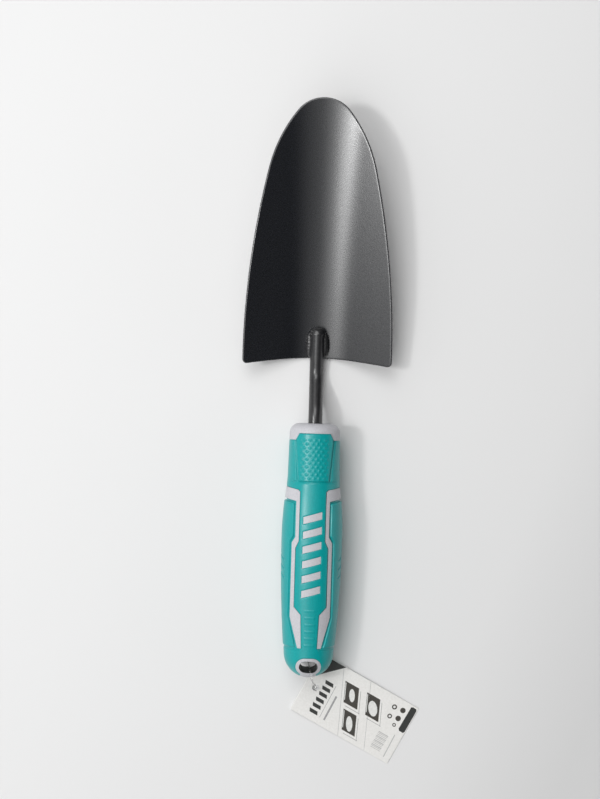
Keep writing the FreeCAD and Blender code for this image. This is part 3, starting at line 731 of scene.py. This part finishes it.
def oval(centre, half, count=28, lean=0.0):
    """An oval outline; lean shears it along the card as the pictures are."""
    points = []
    for number in range(count):
        angle = 2 * math.pi * number / count
        across, up = half[0] * math.cos(angle), half[1] * math.sin(angle)
        points.append((centre[0] + across + lean * up, centre[1] + up))
    return points


def leaning(u, v, width, height, lean):
    """A box whose sides lean like the card's divider lines."""
    return [(u, v), (u + width, v), (u + width + lean, v + height), (u + lean, v + height)]


def add_prints(name, shapes, finish, layer):
    """Flat printed shapes, each a thin closed film on the card's face. Higher layers lie over lower ones."""
    points, faces = [], []
    low = CARD_THICK + 0.004 + 0.012 * layer
    for shape in shapes:
        count, first = len(shape), len(points)
        points += list(on_card(shape, low)) + list(on_card(shape, low + 0.01))
        faces.append([first + number for number in range(count)])
        faces.append([first + count + number for number in reversed(range(count))])
        for number in range(count):
            beside = (number + 1) % count
            faces.append([first + beside, first + number, first + count + number, first + count + beside])
    piece = new_piece(name, points, faces, finish, "tag")
    piece.data.polygons.foreach_set("use_smooth", [False] * len(piece.data.polygons))


def make_card():
    """The card, with its eyelet hole and softened edges."""
    rim = []
    for number, (u, v) in enumerate(((0, 0), (CARD_LENGTH, 0), (CARD_LENGTH, CARD_WIDTH), (0, CARD_WIDTH))):
        middle = np.array([u + CARD_CORNER * (1 if u == 0 else -1), v + CARD_CORNER * (1 if v == 0 else -1)])
        for angle in math.pi + number * math.pi / 2 + np.linspace(0, math.pi / 2, 6):
            rim.append(middle + CARD_CORNER * np.array([math.cos(angle), math.sin(angle)]))
    rim = spaced(rim, 1.5)
    hole = np.array(oval(EYELET, (EYELET_RADIUS, EYELET_RADIUS), 40))
    field = staggered((0, 0), (CARD_LENGTH, CARD_WIDTH), 2.5)

    def accept(points):
        return inside(points, rim) & ~inside(points, hole)

    flat, faces = triangulate([rim, hole], accept, field, (0.08, 0.2))
    inset = distance(flat, np.vstack([rim, hole]))
    fall = round_over(inset, 0.1)
    heights = CARD_THICK - fall
    top = np.array([on_card([point], height)[0] for point, height in zip(flat, heights)])
    bottom = np.array([on_card([point], height)[0] for point, height in zip(flat, fall)])
    faces = outward(top, faces, lambda point: (0, 0, 1))
    card = new_piece("swing_card", *shell(top, bottom, faces), CARD, "tag")
    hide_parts("swing_tag")


def make_prints():
    """Plain stand-ins for what a tag carries: a dark corner, bars, three pictures, dots and stripes."""
    lean = 0.455
    bars = [leaning(9.6, 12.2 + 3.7 * number, 5.2, 2.1, 0.9) for number in range(6)]
    strip = [(61.0, 1.6), (62.2, 1.0), (64.2, 1.2), (64.8, 2.2)]
    strip += [(64.8, 16.0), (64.2, 17.0), (61.6, 17.0), (60.8, 16.0)]
    corner = [(0.15, 0.15), (16.5, 0.15), (0.15, 16.0)]
    add_prints("tag_print_black", [corner, strip] + bars, INK_BLACK, 0)
    # Each picture: how far along, how far down, its width and its height.
    pictures = [(19.9, 7.0, 9.2, 11.4), (27.0, 21.6, 8.7, 11.2), (34.3, 6.6, 8.8, 12.0)]
    frames = [leaning(u, v, width, height, lean * height) for u, v, width, height in pictures]
    add_prints("tag_print_pictures", frames, INK_DARK, 0)
    shapes = []
    # The oval in each picture: how far down it lies, how wide and how tall it is, as shares of the picture.
    portions = ((0.5, 0.2, 0.3), (0.56, 0.24, 0.36), (0.56, 0.34, 0.33))
    for (u, v, width, height), (middle, wide, tall) in zip(pictures, portions):
        centre = (u + width * 0.55 + lean * height / 2, v + height * middle)
        shapes.append(oval(centre, (width * wide, height * tall), 28, lean))
        shapes.append(leaning(u + 0.6, v + 0.8, 0.5, height * 0.8, lean * height * 0.8))
    add_prints("tag_print_shapes", shapes, INK_WHITE, 1)
    lines = [leaning(16.6, 12.5, 0.25, 20.5, 0.6), leaning(19.4, 17.6, 1.1, 15.5, 0.4)]
    fine = 0.28
    for u, v, width, height in pictures:
        lines.append(leaning(u + width + 1.1 + lean, v + 1.0, fine, height + 0.9, lean * (height + 0.9)))
        start = u + lean * (height + 1.5) + 1.0
        lines.append(leaning(start, v + height + 1.3, width + 0.6, fine, lean * fine))
    dots = [(52.4, 6.2, 1.5), (57.7, 5.6, 1.6), (52.6, 12.2, 1.4), (57.6, 11.0, 1.6), (57.4, 15.4, 1.1)]
    add_prints("tag_print_dots", [oval((u, v), (size, size)) for u, v, size in dots], INK_DARK, 0)
    holes = [oval((u, v), (size * 0.5, size * 0.5)) for u, v, size in dots[::2]]
    add_prints("tag_print_dot_holes", holes, INK_WHITE, 1)
    add_prints("tag_print_lines", lines, INK_GREY, 0)
    # Two pale slanted lines across the card, where its panels meet.
    divider_lines = [leaning(15.0, 0.2, 0.3, 36.8, 16.7), leaning(33.0, 0.2, 0.3, 36.8, 16.3)]
    stripes = []
    for number in range(12):
        stripes.append(leaning(51.4, 22.8 + 0.9 * number, 6.4, 0.35 + 0.25 * (number % 3 == 0), 0))
    stripes.append(leaning(60.4, 20.2, 0.6, 14.5, 0.5))
    add_prints("tag_print_pale", divider_lines + stripes, INK_PALE, 0)


make_card()
make_prints()

# ---------------------------------------------------------------- camera, floor and light

# The camera looks straight down from 0.8 m, turned a little.
camera = bpy.data.objects.new("camera", bpy.data.cameras.new("camera"))
camera.data.sensor_fit = "VERTICAL"
camera.data.sensor_height = 36.0
camera.data.lens = 63.1
camera.location = (-0.0091, 0.1506, 0.800)
camera.rotation_euler = (0, 0, math.atan2(0.0297, 0.9996))
bpy.context.scene.collection.objects.link(camera)
bpy.context.scene.camera = camera

# Painted shade: the floor's colour darkens slowly from the left beyond the blade's tip to the right beyond the
# tag, standing in for the light falling off across it.
floor_paint, floor_nodes, floor_links, floor_shader = material("studio_floor")
floor_shader.inputs["Roughness"].default_value = 0.7
floor_place = floor_nodes.new("ShaderNodeTexCoord")
floor_across = floor_nodes.new("ShaderNodeVectorMath")
floor_across.operation = "DOT_PRODUCT"
floor_across.inputs[1].default_value = (1.905, -0.715, 0)
floor_links.new(floor_place.outputs["Object"], floor_across.inputs[0])
floor_share = arithmetic(floor_nodes, floor_links, "ADD", floor_across.outputs["Value"], 0.624)
# The ramp's stops: a painted shade from light to dark across the floor.
floor_painted_shades = ((0.05, 0.815), (0.35, 0.80), (0.65, 0.76), (0.80, 0.735), (0.96, 0.64))
floor_painted_colour = add_ramp(floor_nodes, floor_links, floor_share, floor_painted_shades)
floor_links.new(floor_painted_colour, floor_shader.inputs["Base Color"])
floor_mesh = bpy.data.meshes.new("studio_floor")
floor_corners = [(x * 3.0, y * 3.0, TABLE * MM - 0.00005) for x, y in ((-1, -1), (1, -1), (1, 1), (-1, 1))]
floor_mesh.from_pydata(floor_corners, [], [(0, 1, 2, 3)])
floor_mesh.materials.append(floor_paint)
floor = bpy.data.objects.new("studio_floor", floor_mesh)
bpy.context.scene.collection.objects.link(floor)


def soft_light(name, azimuth, elevation, span, power):
    """A round soft light aimed at the trowel's middle. Azimuth 0 is ahead of the tip, 90 is the left."""
    lamp = bpy.data.lights.new(name, "AREA")
    lamp.shape = "DISK"
    lamp.size = span
    lamp.energy = power
    across, up = math.radians(azimuth), math.radians(elevation)
    way = Vector((-math.sin(across) * math.cos(up), math.cos(across) * math.cos(up), math.sin(up)))
    thing = bpy.data.objects.new(name, lamp)
    thing.location = Vector((0, 0.15, 0)) + way * 1.5
    thing.rotation_euler = way.to_track_quat("Z", "Y").to_euler()
    bpy.context.scene.collection.objects.link(thing)


soft_light("key_left", 86, 56, 0.19, 4.9)
soft_light("window_left", 102, 63, 0.42, 2.7)
soft_light("ceiling_ahead", 15, 60, 0.90, 5.4)

# The room's brightness, from its left wall over the ceiling to its right wall.
room_shades = (
    (0.0, 0.80), (0.08, 0.55), (0.14, 0.32), (0.24, 1.0), (0.39, 1.5),
    (0.49, 0.34), (0.6, 0.40), (0.76, 0.06), (0.93, 0.05), (1.0, 1.15),
)
world = bpy.data.worlds.new("studio")
world.use_nodes = True
sky, sky_links = world.node_tree.nodes, world.node_tree.links
way = sky.new("ShaderNodeTexCoord")
split = sky.new("ShaderNodeSeparateXYZ")
sky_links.new(way.outputs["Generated"], split.inputs["Vector"])
share = arithmetic(sky, sky_links, "MULTIPLY_ADD", split.outputs["X"], 0.5, 0.5)
sky_links.new(add_ramp(sky, sky_links, share, room_shades), sky["Background"].inputs["Color"])
sky["Background"].inputs["Strength"].default_value = 1.0
bpy.context.scene.world = world
bpy.context.scene.view_settings.view_transform = "Standard"
